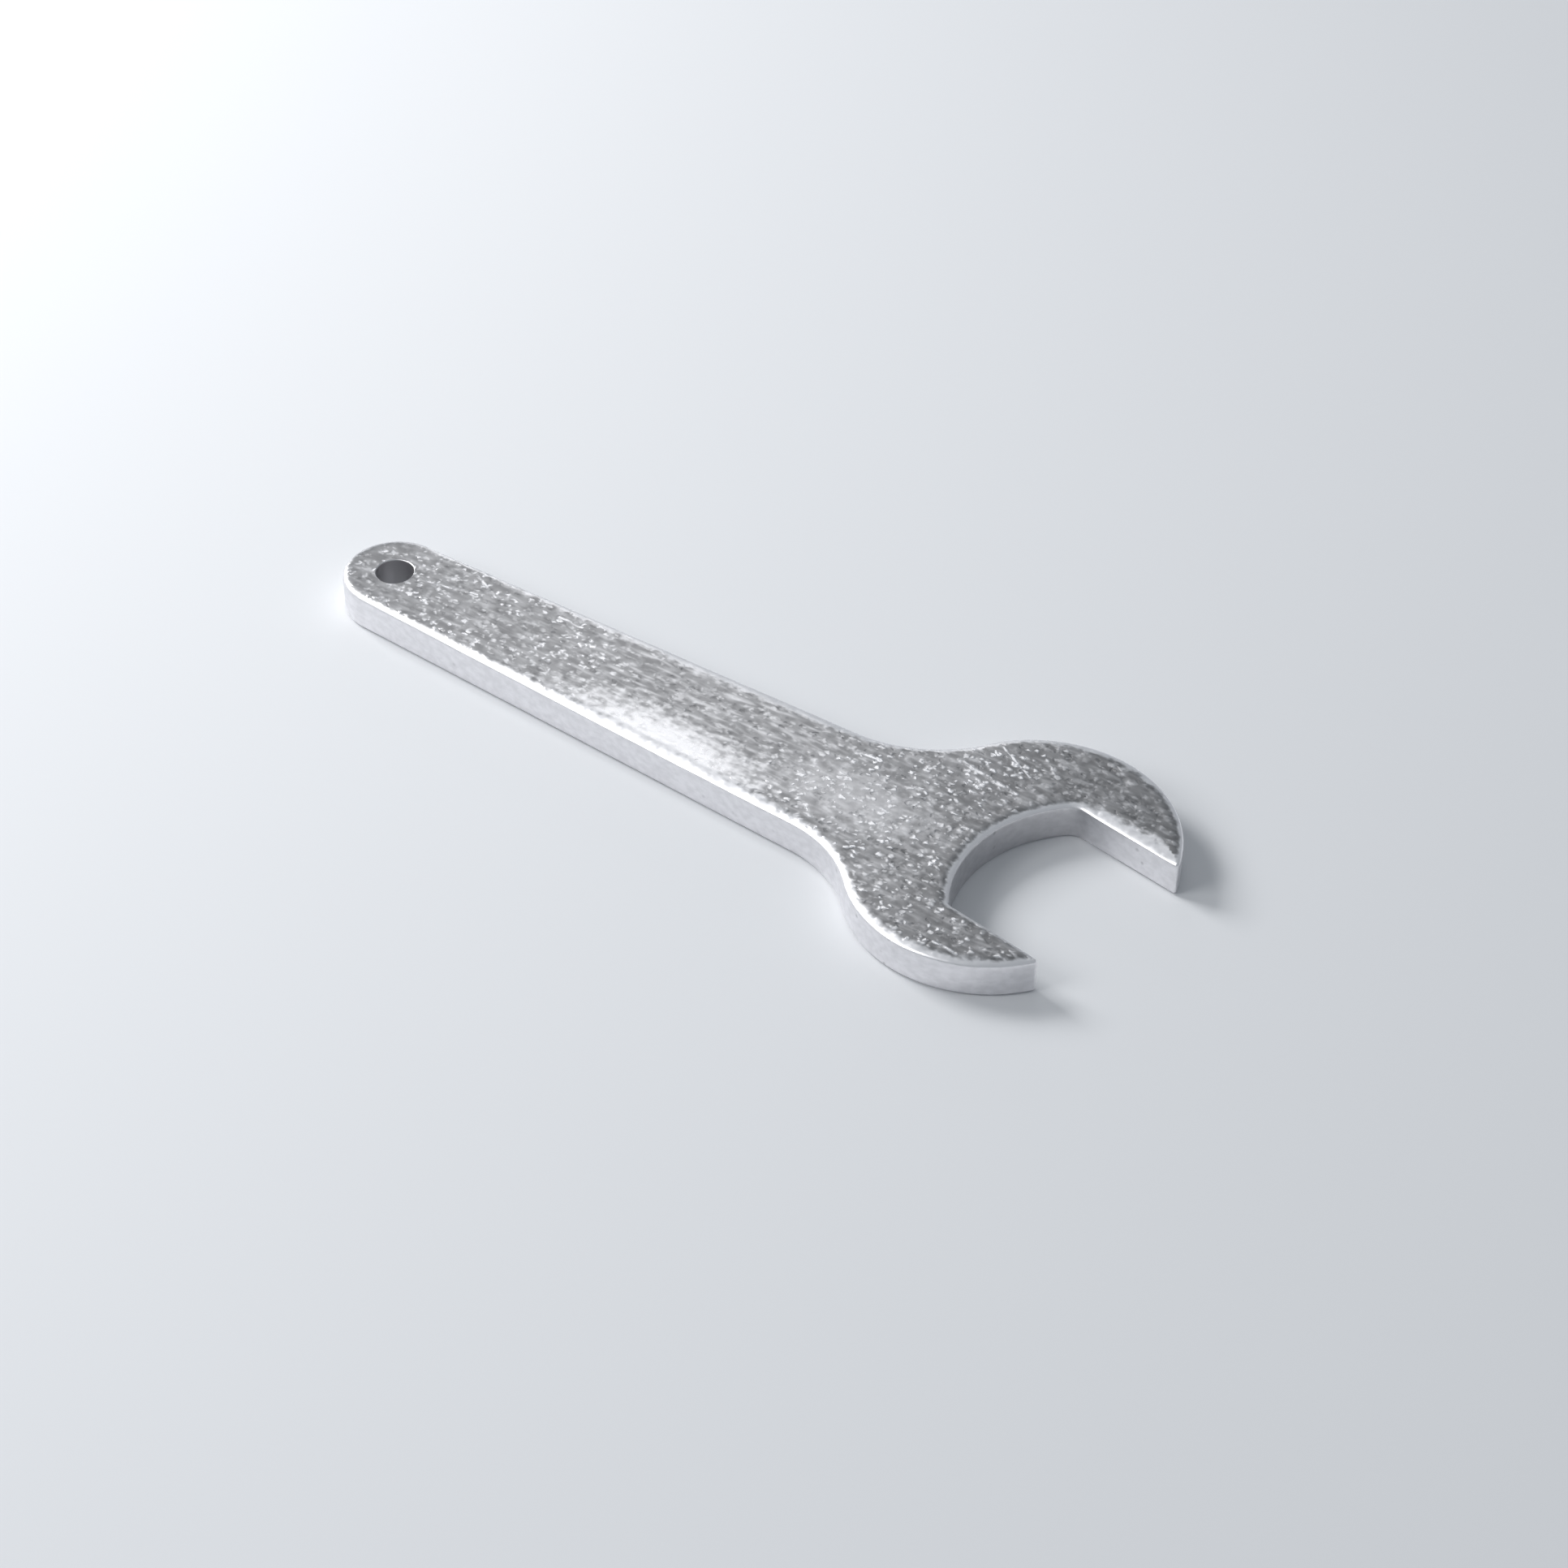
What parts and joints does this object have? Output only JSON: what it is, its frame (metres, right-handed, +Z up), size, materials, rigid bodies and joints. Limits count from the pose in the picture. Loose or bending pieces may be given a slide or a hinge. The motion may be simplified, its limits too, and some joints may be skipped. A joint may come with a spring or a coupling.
{
  "type": "fire hydrant wrench",
  "caption": "Flat open-end wrench cut from plate, with a tapered handle, a hanging hole and a two-lobed head whose open jaw is turned slightly to one side.",
  "frame": {"origin": "centre of the wrench's bounding box, on the underside that it lies on", "axes": "+X from the hanging hole towards the jaw, along the handle; +Y towards the longer lobe; +Z up, through the plate"},
  "size_m": [0.1824, 0.066, 0.008],
  "materials": {
    "plated_steel": "bright zinc plate over rolled steel, granular sheen, worn bright edges"
  },
  "bodies": {
    "root": {"wrench_body": "plated_steel"}
  },
  "joints": []
}
